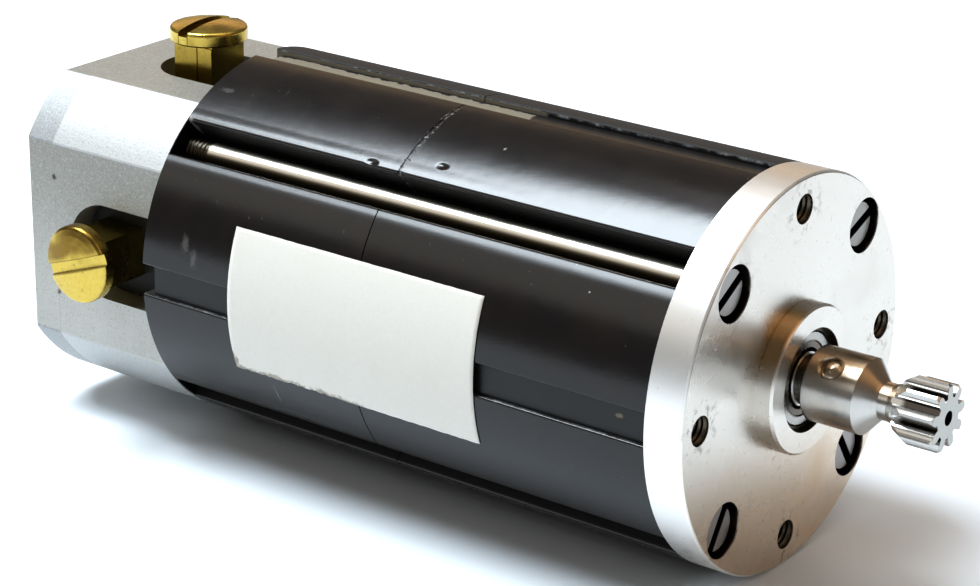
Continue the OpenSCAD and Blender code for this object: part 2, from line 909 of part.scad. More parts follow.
// Pinion: hub over the shaft end, neck and spur teeth in one turned and hobbed piece
module pinion() {
    hub_r = hub_d / 2;
    neck_r = neck_d / 2;
    collar_r = 2.1;
    bore_end = shaft_front_x + 0.1;
    blend = [for (a = [0:15:60])
        [neck_r + 0.5 * (1 - sin(30 + a)), neck_start - 0.45 + 0.5 * cos(60 - a) - 0.25]];
    color("lightsteelblue")
        difference() {
            union() {
                turned(concat(
                    [[0, front_bearing_x], [collar_r, front_bearing_x], [collar_r, hub_rear]],
                    [[hub_r - 0.15, hub_rear], [hub_r, hub_rear + 0.15], [hub_r, hub_front]],
                    blend,
                    [[neck_r, neck_start + 0.4], [neck_r, gear_start + 0.3], [0, gear_start + 0.3]]
                ));
                intersection() {
                    along_x(neck_start + 0.6, pinion_end)
                        rotate(tooth_turn)
                            gear_outline();
                    turned([
                        [0, neck_start + 0.6],
                        [root_r - 0.15, neck_start + 0.6],
                        [root_r + 0.1, gear_start - 0.1],
                        [tip_r - 0.6, gear_start],
                        [tip_r, gear_full],
                        [tip_r, pinion_end - 0.25],
                        [tip_r - 0.2, pinion_end],
                        [0, pinion_end]
                    ]);
                }
            }
            ring_x(shaft_r + seat_gap, 0, 0, bore_end);
            ring_x(centre_hole_r, 0, pinion_end - 1.2, pinion_end + cut);
            cross_hole();
            for (side = [0, 180]) {
                rotate([pin_angle + side, 0, 0])
                    translate([pin_x, hub_r + 0.02, 0])
                        rotate([90, 0, 0])
                            cylinder(h = 0.4, r1 = pin_mouth_r + 0.06, r2 = pin_r);
            }
        }
}

// Cross pin with domed ends through hub and shaft
module pinion_pin() {
    hub_r = hub_d / 2;
    dome_r = 1.15;
    pin_half = hub_r + 0.05;
    color("silver")
        rotate([pin_angle, 0, 0])
            translate([pin_x, 0, 0])
                rotate([90, 0, 0])
                    intersection() {
                        cylinder(h = hub_d * 2, r = pin_r, center = true);
                        union() {
                            cylinder(h = 2 * (pin_half - dome_r), r = dome_r, center = true);
                            for (end = [-1, 1]) {
                                translate([0, 0, end * (pin_half - dome_r)])
                                    sphere(dome_r);
                            }
                        }
                    }
}

front_end_bell();
rear_end_bell();
rear_cover();
cover_screws();
lead_grommet();
tie_rods();
front_pole(135);  // front_pole_left_upper
front_pole(45);  // front_pole_right_upper
front_pole(-45);  // front_pole_right_lower
front_pole(-135);  // front_pole_left_lower
rear_pole(135);  // rear_pole_left_upper
rear_pole(45);  // rear_pole_right_upper
rear_pole(-45);  // rear_pole_right_lower
rear_pole(-135);  // rear_pole_left_lower
magnet(90);  // magnet_top
magnet(0);  // magnet_right
magnet(-90);  // magnet_bottom
magnet(180);  // magnet_left
label();
brush_insulator("top");  // brush_insulator_top
brush_insulator("side");  // brush_insulator_side
brush_holder("top");  // brush_holder_top
brush_holder("side");  // brush_holder_side
brush_cap("top", 90);  // brush_cap_top
brush_cap("side", 19.5);  // brush_cap_side
brush_spring("top");  // brush_spring_top
brush_spring("side");  // brush_spring_side
carbon_brush("top");  // brush_top
carbon_brush("side");  // brush_side
brush_plate("top");  // brush_plate_top
brush_plate("side");  // brush_plate_side
bearing_outer(front_bearing_x);  // front_bearing_outer
bearing_shields(front_bearing_x);  // front_bearing_shields
bearing_balls(front_bearing_x);  // front_bearing_balls
bearing_cage(front_bearing_x);  // front_bearing_cage
bearing_inner(front_bearing_x);  // front_bearing_inner
bearing_outer(rear_bearing_x);  // rear_bearing_outer
bearing_shields(rear_bearing_x);  // rear_bearing_shields
bearing_balls(rear_bearing_x);  // rear_bearing_balls
bearing_cage(rear_bearing_x);  // rear_bearing_cage
bearing_inner(rear_bearing_x);  // rear_bearing_inner
preload_washer();
shaft();
front_spacer();
rear_shim();
retaining_ring();
armature_core();
armature_end_insulators();
armature_windings();
commutator_hub();
commutator_bars();
pinion();
pinion_pin();
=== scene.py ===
import math
import random

import bpy
from mathutils import Matrix, Vector


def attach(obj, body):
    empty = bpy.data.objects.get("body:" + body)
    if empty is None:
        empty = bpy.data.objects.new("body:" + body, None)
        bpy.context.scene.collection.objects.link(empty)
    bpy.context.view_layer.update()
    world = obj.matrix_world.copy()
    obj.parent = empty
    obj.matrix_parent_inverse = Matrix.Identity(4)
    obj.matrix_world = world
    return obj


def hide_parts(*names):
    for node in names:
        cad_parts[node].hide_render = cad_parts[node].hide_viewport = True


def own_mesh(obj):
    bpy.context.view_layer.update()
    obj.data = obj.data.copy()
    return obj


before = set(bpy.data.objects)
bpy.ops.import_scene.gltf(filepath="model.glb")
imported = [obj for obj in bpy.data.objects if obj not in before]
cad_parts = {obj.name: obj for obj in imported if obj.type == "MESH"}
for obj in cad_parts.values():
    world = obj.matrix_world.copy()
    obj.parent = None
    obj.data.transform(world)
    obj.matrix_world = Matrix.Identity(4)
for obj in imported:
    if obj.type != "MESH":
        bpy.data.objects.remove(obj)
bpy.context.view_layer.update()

# The camera stands ahead of the pinion, to the motor's left and a little above it.
# Its lens is long, so the body tapers only slightly towards the rear.
camera_place = Vector((0.101234, -0.180112, 0.085695))
camera_right = Vector((0.80378, 0.59472, 0.01583))
camera_up = Vector((-0.22582, 0.28037, 0.93295))
camera_back = Vector((0.55041, -0.75346, 0.35965))
picture_width = 980
focal_pixels = 2777.5
sensor_width_mm = 36

camera = bpy.data.objects.new("camera", bpy.data.cameras.new("camera"))
bpy.context.scene.collection.objects.link(camera)
turn = Matrix((camera_right, camera_up, camera_back)).transposed()
camera.matrix_world = Matrix.Translation(camera_place) @ turn.to_4x4()
camera.data.sensor_width = sensor_width_mm
camera.data.lens = focal_pixels / picture_width * sensor_width_mm
camera.data.clip_start = 0.01
bpy.context.scene.camera = camera

# The studio: a pale floor that the motor lies on, a pale room and large soft panels.
# One panel overhead draws the long highlight on the upper left pole pieces.
body_r = 0.01675
body_middle = Vector((-0.03, 0, 0))
floor_size = 3.0


def set_inputs(node, values):
    """Sets inputs of a node to plain values."""
    for title, value in values.items():
        node.inputs[title].default_value = value


def soft_panel(name, direction, distance, size, glow, colour, twist=0):
    """A rectangular lamp that faces the motor; glow is its brightness as the motor sees it."""
    away = Vector(direction).normalized()
    lamp = bpy.data.lights.new(name, "AREA")
    lamp.shape = "RECTANGLE"
    lamp.size, lamp.size_y = size
    lamp.energy = glow * math.pi * size[0] * size[1]
    lamp.color = colour
    panel = bpy.data.objects.new(name, lamp)
    bpy.context.scene.collection.objects.link(panel)
    panel.location = body_middle + away * distance
    facing = away.to_track_quat("Z", "Y").to_matrix() @ Matrix.Rotation(math.radians(twist), 3, "Z")
    panel.rotation_euler = facing.to_euler()


room = bpy.data.worlds.new("room")
room.use_nodes = True
set_inputs(room.node_tree.nodes["Background"], {"Color": (1.0, 0.93, 0.86, 1), "Strength": 0.2})
bpy.context.scene.world = room
bpy.context.scene.view_settings.view_transform = "Standard"
bpy.context.scene.view_settings.look = "Medium High Contrast"

soft_panel("overhead_panel", (-0.416, -0.147, 0.898), 0.90, (0.40, 0.44), 19.0, (0.84, 0.93, 1.0), 38)
soft_panel("ceiling_panel", (-0.10, 0.25, 1.0), 1.3, (0.9, 0.9), 1.6, (1.0, 0.98, 0.95))
soft_panel("left_panel", (-0.55, -0.62, 0.555), 0.9, (0.8, 0.32), 0.9, (1.0, 0.97, 0.90))
soft_panel("front_panel", (0.67, 0.12, 0.73), 0.9, (0.6, 0.6), 0.62, (1.0, 0.61, 0.32))
soft_panel("back_panel", (-0.55, 0.76, 0.35), 0.7, (0.6, 0.22), 0.72, (1.0, 0.66, 0.36))

half = floor_size / 2
floor_corners = [(x * half, y * half, -body_r) for x, y in ((-1, -1), (1, -1), (1, 1), (-1, 1))]
floor_mesh = bpy.data.meshes.new("floor")
floor_mesh.from_pydata(floor_corners, [], [(0, 1, 2, 3)])
floor = bpy.data.objects.new("floor", floor_mesh)
bpy.context.scene.collection.objects.link(floor)
floor_finish = bpy.data.materials.new("floor_finish")
floor_finish.use_nodes = True
floor_look = {"Base Color": (0.84, 0.89, 0.94, 1), "Roughness": 0.9, "Specular IOR Level": 0.1}
set_inputs(floor_finish.node_tree.nodes["Principled BSDF"], floor_look)
floor_mesh.materials.append(floor_finish)

# The front end bell: a disc turned from aluminium bar, with a pilot boss round the bearing.
# Fine turning rings run round its face and rim, and handling has left stains and dirt by the holes.
# The finishes measure in millimetres, so the sizes that end in mm are theirs. The rest is in metres.
body_r_mm = body_r * 1000
boss_r_mm = 6.25
boss_h_mm = 1.6
recess_r_mm = 4.4
bolt_circle_r = 0.0141
holes_apart = 45.0


def add_node(tree, kind, feeds=None, **settings):
    """Adds a shader node; feeds gives its inputs as plain values or as other nodes' outputs."""
    node = tree.nodes.new("ShaderNode" + kind)
    for key, value in settings.items():
        setattr(node, key, value)
    for key, value in (feeds or {}).items():
        if isinstance(value, bpy.types.NodeSocket):
            tree.links.new(value, node.inputs[key])
        else:
            node.inputs[key].default_value = value
    return node


def calc(tree, operation, *values):
    """One sum on numbers or outputs."""
    return add_node(tree, "Math", dict(enumerate(values)), operation=operation).outputs[0]


def times(tree, result, *factors):
    """The product of numbers or outputs."""
    for factor in factors:
        result = calc(tree, "MULTIPLY", result, factor)
    return result


def plus(tree, result, *others):
    """The sum of numbers or outputs."""
    for other in others:
        result = calc(tree, "ADD", result, other)
    return result


def minus(tree, value, other):
    """What is left of a value without another."""
    return calc(tree, "SUBTRACT", value, other)


def reach_of(tree, first, second):
    """The length of the long side when two sides meet at a right angle."""
    squares = plus(tree, calc(tree, "POWER", first, 2.0), calc(tree, "POWER", second, 2.0))
    return calc(tree, "SQRT", squares)


def new_effect(name, takes, gives):
    """An empty node group: it takes numbers, given with their usual values, and gives masks or places."""
    effect = bpy.data.node_groups.new(name, "ShaderNodeTree")
    for title, value in takes.items():
        socket = effect.interface.new_socket(title, in_out="INPUT", socket_type="NodeSocketFloat")
        socket.default_value = value
    for title, kind in gives.items():
        effect.interface.new_socket(title, in_out="OUTPUT", socket_type="NodeSocket" + kind)
    taken = effect.nodes.new("NodeGroupInput").outputs
    given = effect.nodes.new("NodeGroupOutput").inputs
    return effect, taken, given


def use_effect(tree, effect, values=None):
    """Places an effect in a material and hands on what it gives."""
    return add_node(tree, "Group", values, node_tree=effect).outputs


# Where a point lies, in millimetres and degrees about the shaft, from +Y towards +Z
place_kinds = {"Place": "Vector", "X": "Float", "Z": "Float", "Radius": "Float", "Angle": "Float"}
whereabouts, _, given = new_effect("whereabouts", {}, place_kinds)
object_place = add_node(whereabouts, "TexCoord").outputs["Object"]
scale_feeds = {0: object_place, "Scale": 1000.0}
place_mm = add_node(whereabouts, "VectorMath", scale_feeds, operation="SCALE").outputs[0]
x_mm, y_mm, z_mm = add_node(whereabouts, "SeparateXYZ", {0: place_mm}).outputs
radius = reach_of(whereabouts, y_mm, z_mm)
angle = calc(whereabouts, "DEGREES", calc(whereabouts, "ARCTAN2", z_mm, y_mm))
for title, value in zip(place_kinds, (place_mm, x_mm, z_mm, radius, angle)):
    whereabouts.links.new(value, given[title])

# Turning rings left by a lathe tool, as a height and as a slight change of tone
turning, taken, given = new_effect("turning_rings", {"Per mm": 6.0}, {"Height": "Float", "Tone": "Float"})
spot = use_effect(turning, whereabouts)
along = times(turning, plus(turning, spot["Radius"], spot["X"]), taken["Per mm"])
fine_feeds = {"W": along, "Scale": 1.0, "Detail": 3.0, "Roughness": 0.7}
fine = add_node(turning, "TexNoise", fine_feeds, noise_dimensions="1D").outputs[0]
broad_feeds = {"W": along, "Scale": 0.13, "Detail": 1.0}
broad = add_node(turning, "TexNoise", broad_feeds, noise_dimensions="1D").outputs[0]
turning.links.new(fine, given["Height"])
turning.links.new(plus(turning, times(turning, fine, 0.5), times(turning, broad, 0.5)), given["Tone"])


def noise(tree, place, scale, detail=2.0, rough=0.5, warp=0.0):
    """A cloudy value from 0 to 1, with so many clouds to the millimetre."""
    feeds = {"Vector": place, "Scale": scale, "Detail": detail, "Roughness": rough, "Distortion": warp}
    return add_node(tree, "TexNoise", feeds).outputs[0]


def ease(tree, value, low, high, start=0.0, end=1.0):
    """A soft step from start to end as the value goes from low to high."""
    feeds = {"Value": value, "From Min": low, "From Max": high, "To Min": start, "To Max": end}
    return add_node(tree, "MapRange", feeds, interpolation_type="SMOOTHSTEP").outputs[0]


def band(tree, value, rise, fall):
    """A stretch that fades in over rise and out over fall."""
    return times(tree, ease(tree, value, *rise), ease(tree, value, *fall))


# Uneven stains: a clouded mask with soft borders
stain_sizes = {"Size mm": 6.0, "Cover": 0.5, "Softness": 0.15}
stains, taken, given = new_effect("stains", stain_sizes, {"Mask": "Float"})
spot = use_effect(stains, whereabouts)
cloud = noise(stains, spot["Place"], calc(stains, "DIVIDE", 1.0, taken["Size mm"]), 4.0, 0.6, 0.4)
edge_from = minus(stains, 1.0, taken["Cover"])
edge_to = plus(stains, edge_from, taken["Softness"])
stains.links.new(ease(stains, cloud, edge_from, edge_to), given["Mask"])

# Fine scratches: thin broken lines in three directions
scratch_axis = (0.6, 0.5, 0.62)
scratch_stretch = (14.0, 14.0, 0.8)
scratches, taken, given = new_effect("scratches", {"Amount": 0.5, "Length mm": 4.0}, {"Mask": "Float"})
spot = use_effect(scratches, whereabouts)
per_mm = calc(scratches, "DIVIDE", 1.0, taken["Length mm"])
line_from = minus(scratches, 0.80, times(scratches, taken["Amount"], 0.12))
marks = 0.0
for tilt in (0.4, 1.5, 2.6):
    turn_feeds = {"Vector": spot["Place"], "Axis": scratch_axis, "Angle": tilt}
    turned = add_node(scratches, "VectorRotate", turn_feeds).outputs[0]
    stretch_feeds = {0: turned, 1: scratch_stretch}
    drawn = add_node(scratches, "VectorMath", stretch_feeds, operation="MULTIPLY").outputs[0]
    lines = noise(scratches, drawn, per_mm, 1.0, 0.5)
    marks = calc(scratches, "MAXIMUM", marks, ease(scratches, lines, line_from, 0.84))
scratches.links.new(marks, given["Mask"])


def new_finish(name, values):
    """A material with its fixed values, and its tree, its shader and where each point lies."""
    finish = bpy.data.materials.new(name)
    finish.use_nodes = True
    tree = finish.node_tree
    shader = tree.nodes["Principled BSDF"]
    set_inputs(shader, values)
    return finish, tree, shader, use_effect(tree, whereabouts)


def blend(tree, mask, first, second):
    """A colour between two others."""
    return add_node(tree, "Mix", {0: mask, 6: first, 7: second}, data_type="RGBA").outputs[2]


def tint(tree, colour, tone, *masks):
    """Lays a tone over a colour, as strongly as the product of its masks."""
    return blend(tree, times(tree, *masks), colour, tone)


def colour_surface(tree, shader, colour, dullness):
    """Gives a material its colour and its roughness."""
    tree.links.new(colour, shader.inputs["Base Color"])
    tree.links.new(dullness, shader.inputs["Roughness"])


def raise_surface(tree, shader, height, depth_mm):
    """Lets a height from 0 to 1 stand up by depth_mm on the surface."""
    feeds = {"Height": height, "Distance": depth_mm / 1000, "Strength": 1.0}
    tree.links.new(add_node(tree, "Bump", feeds).outputs[0], shader.inputs["Normal"])


def turn_sheen(tree, shader):
    """Lets the highlights follow the marks of the lathe, which run round the shaft."""
    lathe_way = add_node(tree, "Tangent", direction_type="RADIAL", axis="X")
    tree.links.new(lathe_way.outputs[0], shader.inputs["Tangent"])


def dress(finish, *names):
    """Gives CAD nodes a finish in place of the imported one."""
    for name in names:
        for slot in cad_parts[name].material_slots:
            slot.material = finish


rim_tone = (0.90, 0.89, 0.87, 1)
face_shade_tone = (0.70, 0.665, 0.615, 1)
reflected_brown_tone = (0.66, 0.50, 0.35, 1)
ring_tone = (0.55, 0.54, 0.52, 1)
boss_reflection_tone = (0.42, 0.29, 0.14, 1)
dirt_tone = (0.16, 0.14, 0.12, 1)
inside_shade_tone = (0.07, 0.055, 0.04, 1)
bell_values = {"Metallic": 1.0, "Anisotropic": 0.6, "Anisotropic Rotation": 0.25}
bell_finish, tree, shader, spot = new_finish("turned_aluminium", bell_values)
rings = use_effect(tree, turning, {"Per mm": 7.0})
haze = use_effect(tree, stains, {"Size mm": 7.0, "Cover": 0.52, "Softness": 0.25})["Mask"]
grit = use_effect(tree, stains, {"Size mm": 0.9, "Cover": 0.47, "Softness": 0.1})["Mask"]
lines = use_effect(tree, scratches, {"Amount": 0.5, "Length mm": 3.0})["Mask"]

# The face is painted darker than the rim and browner low down, as painted shade and a painted reflection
# of the motor's shadow on the floor
shaded_low_face = ease(tree, spot["Z"], -1.0, -12.0)
reflected_warmth = times(tree, plus(tree, times(tree, haze, 0.4), 0.7), shaded_low_face)
colour = blend(tree, reflected_warmth, face_shade_tone, reflected_brown_tone)
colour = tint(tree, colour, ring_tone, rings["Tone"], 0.25)
colour = tint(tree, colour, rim_tone, ease(tree, spot["X"], -0.02, -0.1))

# The upper left of the boss side is painted brown, as a painted reflection of warm surroundings
behind_boss_face = ease(tree, spot["X"], boss_h_mm - 0.02, boss_h_mm - 0.1)
boss_side = band(
    tree, spot["Radius"], (boss_r_mm - 0.15, boss_r_mm - 0.05), (boss_r_mm + 0.15, boss_r_mm + 0.05))
reflecting_side = band(tree, spot["Angle"], (88.0, 108.0), (166.0, 148.0))
colour = tint(tree, colour, boss_reflection_tone, boss_side, behind_boss_face, reflecting_side, 0.9)

# Dirt gathers round the eight holes. All are folded onto the one at angle 0.
folded = calc(tree, "WRAP", spot["Angle"], holes_apart / 2, -holes_apart / 2)
folded = calc(tree, "RADIANS", folded)
across = times(tree, spot["Radius"], calc(tree, "SINE", folded))
outward = minus(tree, times(tree, spot["Radius"], calc(tree, "COSINE", folded)), bolt_circle_r * 1000)
near_hole = ease(tree, reach_of(tree, across, outward), 3.4, 1.4)
colour = tint(tree, colour, dirt_tone, near_hole, grit, 0.55)
colour = tint(tree, colour, dirt_tone, lines, 0.4)

# The holes and the bearing's recess are painted dark inside, as painted shade
inside_rim = ease(tree, spot["Radius"], body_r_mm - 0.15, body_r_mm - 0.25)
hole_shade = times(tree, ease(tree, spot["X"], -0.06, -0.14), inside_rim)
inside_recess = ease(tree, spot["Radius"], recess_r_mm + 0.02, recess_r_mm - 0.04)
recess_shade = times(tree, behind_boss_face, inside_recess)
colour = tint(tree, colour, inside_shade_tone, calc(tree, "MAXIMUM", hole_shade, recess_shade))
rim_dull = ease(tree, spot["Radius"], body_r_mm - 0.25, body_r_mm - 0.05, 0.0, 0.18)
dullness = plus(tree, 0.27, times(tree, haze, 0.12), rim_dull, times(tree, lines, 0.2))
colour_surface(tree, shader, colour, dullness)
raise_surface(tree, shader, rings["Height"], 0.004)
turn_sheen(tree, shader)
dress(bell_finish, "front_end_bell")

# The pole pieces: eight blocks of soft steel in two stacks, clamped between the end bells.
# The whole stator was sprayed satin black after assembly, so paint lies over the seam and the edges.
# The paint has sagged into thick edges at the grooves, and knocks have left dents, chips and scuffs.
seam_x_mm = -32.05
strip_half_angle = 4.53
strip_wall_angle = 85.4
mouth_half_angle = 5.65
paint_depth_mm = 0.05
mm_per_degree = math.radians(body_r_mm)


def size_of(tree, value):
    """A value without its sign."""
    return calc(tree, "ABSOLUTE", value)


def away_from(tree, value, place):
    """How far a value lies from a place, on either side."""
    return size_of(tree, minus(tree, value, place))


def angle_from(tree, spot, start):
    """The angle of a point from a start, between -180 and 180 degrees."""
    return calc(tree, "WRAP", minus(tree, spot["Angle"], start), 180.0, -180.0)


def above_side(tree, spot):
    """The angle of a point above the shaft's level, alike on the left and on the right."""
    return minus(tree, 90.0, size_of(tree, angle_from(tree, spot, 90.0)))


def from_own_place(tree, spot, taken):
    """How far a point lies from an effect's own place, along the shaft and round it, in millimetres."""
    long_way = minus(tree, spot["X"], taken["X"])
    round_way = times(tree, minus(tree, spot["Angle"], taken["Angle"]), mm_per_degree)
    return long_way, round_way


# Wear along a line that runs with the shaft, at a given angle
wear_sizes = {"Angle": 90.0, "Width mm": 0.25, "Broken": 0.5}
edge_wear, taken, given = new_effect("edge_wear", wear_sizes, {"Mask": "Float"})
spot = use_effect(edge_wear, whereabouts)
off_line = times(edge_wear, size_of(edge_wear, angle_from(edge_wear, spot, taken["Angle"])), mm_per_degree)
ragged = noise(edge_wear, spot["Place"], 0.9, 4.0, 0.7)
unbroken = minus(edge_wear, times(edge_wear, ragged, 2.6), taken["Broken"])
wear_width = times(edge_wear, taken["Width mm"], unbroken)
on_line = ease(edge_wear, minus(edge_wear, wear_width, off_line), -0.03, 0.05)
on_outside = ease(edge_wear, spot["Radius"], body_r_mm - 0.37, body_r_mm - 0.25)
edge_wear.links.new(times(edge_wear, on_line, on_outside), given["Mask"])

# A shallow dent at a place along the shaft and an angle
dent, taken, given = new_effect("dent", {"X": -35.0, "Angle": 128.0, "Size mm": 1.2}, {"Depth": "Float"})
spot = use_effect(dent, whereabouts)
long_way, round_way = from_own_place(dent, spot, taken)
gap = reach_of(dent, round_way, times(dent, long_way, 0.6))
dent.links.new(ease(dent, gap, taken["Size mm"], 0.0), given["Depth"])

# A small ragged mark; its two half sizes are along the shaft and round it
smear_sizes = {"X": -50.0, "Angle": 167.0, "Long mm": 1.0, "Round mm": 1.0}
smear, taken, given = new_effect("smear", smear_sizes, {"Mask": "Float"})
spot = use_effect(smear, whereabouts)
long_way, round_way = from_own_place(smear, spot, taken)
long_share = calc(smear, "DIVIDE", long_way, taken["Long mm"])
round_share = calc(smear, "DIVIDE", round_way, taken["Round mm"])
ragged = noise(smear, spot["Place"], 2.4, 4.0, 0.7)
left_over = minus(smear, times(smear, ragged, 2.0), reach_of(smear, round_share, long_share))
smear.links.new(ease(smear, left_over, 0.0, 0.8), given["Mask"])

stator_paint, tree, shader, spot = new_finish("stator_paint", {"Specular IOR Level": 0.5})
cloud = noise(tree, spot["Place"], 0.35, 3.0, 0.6)
colour = blend(tree, cloud, (0.004, 0.004, 0.005, 1), (0.013, 0.009, 0.007, 1))

# Bare steel along the edges beside two magnets: angle, width in mm and how broken the line is
bare = 0.0
for angle, width, broken in (
        (90 + strip_half_angle, 0.10, 1.1), (90 - strip_half_angle, 0.10, 0.95),
        (180 + strip_half_angle, 0.09, 0.95), (180 - strip_half_angle, 0.10, 1.45)):
    mask = use_effect(tree, edge_wear, {"Angle": angle, "Width mm": width, "Broken": broken})["Mask"]
    bare = calc(tree, "MAXIMUM", bare, mask)
colour = tint(tree, colour, (0.36, 0.37, 0.38, 1), bare)
tree.links.new(times(tree, bare, 0.6), shader.inputs["Metallic"])

# Crumbled paint over the seam between the stacks, on the upper left pole pieces
wander = times(tree, minus(tree, noise(tree, spot["Place"], 1.1, 3.0, 0.7), 0.5), 0.7)
from_seam = away_from(tree, plus(tree, spot["X"], wander), seam_x_mm)
crumpled = noise(tree, spot["Place"], 2.6, 4.0, 0.75)
upper_left = ease(tree, away_from(tree, spot["Angle"], 114.0), 17.0, 15.0)
crust = times(tree, ease(tree, from_seam, 0.32, 0.08), ease(tree, crumpled, 0.5, 0.6), upper_left)
colour = tint(tree, colour, (0.34, 0.35, 0.36, 1), crust, 0.5)

# Specks, scratches, and the rubbed wall beside the bare strip of the top magnet
speck_feeds = {"Vector": spot["Place"], "Scale": 0.27, "Randomness": 1.0}
speck = ease(tree, add_node(tree, "TexVoronoi", speck_feeds).outputs["Distance"], 0.032, 0.018)
colour = tint(tree, colour, (0.5, 0.5, 0.48, 1), speck, 0.6)
lines = use_effect(tree, scratches, {"Amount": 0.2, "Length mm": 5.0})["Mask"]
colour = tint(tree, colour, (0.4, 0.4, 0.4, 1), lines, 0.10)
beside_strip = ease(tree, away_from(tree, spot["Angle"], strip_wall_angle), 1.3, 0.9)
below_edge = ease(tree, spot["Radius"], body_r_mm - 0.14, body_r_mm - 0.20)
rear_part = ease(tree, spot["X"], -25.5, -25.9)
colour = tint(tree, colour, (0.20, 0.175, 0.13, 1), beside_strip, below_edge, rear_part)

# Scuffs: place along the shaft, angle, half sizes along and round in mm, strength
for x, angle, long_mm, round_mm, strength in (
        (-50.7, 165.5, 0.60, 1.00, 0.14), (-49.6, 169.0, 0.50, 1.10, 0.12),
        (-53.5, 115.5, 1.10, 0.40, 0.11), (-55.0, 129.0, 0.40, 0.35, 0.50),
        (-41.8, -152.0, 0.09, 1.50, 0.22), (-24.5, 112.0, 0.20, 0.20, 0.60)):
    feeds = {"X": x, "Angle": angle, "Long mm": long_mm, "Round mm": round_mm}
    colour = tint(tree, colour, (0.46, 0.45, 0.43, 1), use_effect(tree, smear, feeds)["Mask"], strength)

# The paint is uneven and orange-peeled, with a bead along the mouth of each groove
grain = noise(tree, spot["Place"], 7.0, 3.0, 0.6)
flow = noise(tree, spot["Place"], 0.8, 2.0, 0.5)
from_groove = away_from(tree, calc(tree, "WRAP", spot["Angle"], 90.0, 0.0), 45.0)
from_mouth = times(tree, minus(tree, from_groove, mouth_half_angle), mm_per_degree)
bead = band(tree, from_mouth, (0.1, 0.75), (1.5, 0.75))
bead = times(tree, bead, ease(tree, spot["X"], -12.0, -45.0, 0.1, 0.7))
height = plus(tree, times(tree, grain, 0.08), times(tree, flow, 0.15), bead, times(tree, crust, 0.5))

# Below the two upper grooves it has sagged to a thick lip
below_mouth = times(tree, minus(tree, 45.0 - mouth_half_angle, above_side(tree, spot)), mm_per_degree)
lip_share = add_node(tree, "Clamp", {"Value": calc(tree, "DIVIDE", below_mouth, 1.5)}).outputs[0]
lip_height = ease(tree, spot["X"], -4.0, -52.0, 5.7, 4.5)
height = plus(tree, height, times(tree, lip_share, minus(tree, 2.0, lip_share), lip_height))

# Dents: place along the shaft, angle and half size in mm
for x, angle, size in ((-35.1, 127.9, 0.48), (-28.6, 123.4, 0.45), (-31.9, 129.9, 0.5)):
    hollow = use_effect(tree, dent, {"X": x, "Angle": angle, "Size mm": size})["Depth"]
    height = minus(tree, height, times(tree, hollow, 2.2))
raise_surface(tree, shader, height, paint_depth_mm)

# It is duller in the grooves, on the lips, on the specks and along the top
in_groove = ease(tree, spot["Radius"], body_r_mm - 0.15, body_r_mm - 0.35, 0.0, 0.5)
lip = band(tree, below_mouth, (0.0, 0.2), (1.9, 0.9))
dusty = band(tree, spot["Angle"], (60.0, 76.0), (93.0, 86.0))
dullness = plus(tree, 0.165, times(tree, cloud, 0.06), times(tree, speck, 0.3), in_groove)
dullness = plus(tree, dullness, times(tree, lip, 0.12), times(tree, dusty, 0.5))
colour_surface(tree, shader, colour, dullness)
corners = ("left_upper", "right_upper", "right_lower", "left_lower")
dress(stator_paint, *[stack + "_pole_" + corner for stack in ("front", "rear") for corner in corners])

# The magnets: flat ceramic slabs, set on edge between the pole pieces and just below their surface.
# They were painted over with the stator. On top the paint has been rubbed off along the rear half.
magnet_finish, tree, shader, spot = new_finish("painted_magnet", {"Specular IOR Level": 0.4})
cloud = noise(tree, spot["Place"], 0.6, 3.0, 0.6)
painted = blend(tree, cloud, (0.007, 0.007, 0.008, 1), (0.014, 0.013, 0.012, 1))
clay = noise(tree, spot["Place"], 2.2, 4.0, 0.6)
tan = blend(tree, clay, (0.15, 0.13, 0.095, 1), (0.22, 0.195, 0.15, 1))
ragged = noise(tree, spot["Place"], 0.8, 5.0, 0.75)
from_top = away_from(tree, spot["Angle"], 89.4)
on_strip = ease(tree, minus(tree, times(tree, ragged, 6.8), from_top), 0.4, 0.7)
rear_half = ease(tree, plus(tree, spot["X"], times(tree, ragged, 3.0)), -24.9, -25.2)
chip = use_effect(tree, smear, {"X": -6.0, "Angle": 178.6, "Long mm": 0.55, "Round mm": 0.30})["Mask"]
rubbed = calc(tree, "MAXIMUM", times(tree, on_strip, rear_half), chip)
colour_surface(tree, shader, blend(tree, rubbed, painted, tan), ease(tree, rubbed, 0.0, 1.0, 0.38, 0.7))
grain = noise(tree, spot["Place"], 5.0, 3.0, 0.6)
height = minus(tree, times(tree, grain, 0.3), times(tree, rubbed, 0.6))
raise_surface(tree, shader, height, paint_depth_mm)
dress(magnet_finish, "magnet_top", "magnet_right", "magnet_bottom", "magnet_left")

# The tie rods: four long screws of plated steel in the grooves, with slotted heads at the front.
# They clamp both end bells on the stator. Their lower sides are painted dark, as painted shade in the
# grooves.
rod_finish, tree, shader, spot = new_finish("plated_screw_steel", {"Metallic": 1.0, "Anisotropic": 0.4})
cloud = noise(tree, spot["Place"], 0.5, 3.0, 0.6)
colour = blend(tree, cloud, (0.60, 0.54, 0.45, 1), (0.74, 0.70, 0.62, 1))
lines = use_effect(tree, scratches, {"Amount": 0.5, "Length mm": 2.0})["Mask"]
colour = tint(tree, colour, (0.2, 0.17, 0.14, 1), lines, 0.5)
on_thread = ease(tree, spot["X"], -52.6, -52.8, 0.0, 0.95)
colour = tint(tree, colour, (0.05, 0.042, 0.03, 1), on_thread)
# Painted shade: the side of each rod turned down into its groove is darker
rod_underside_shade = ease(tree, above_side(tree, spot), 45.1, 42.5)
colour = tint(tree, colour, (0.08, 0.06, 0.035, 1), rod_underside_shade)
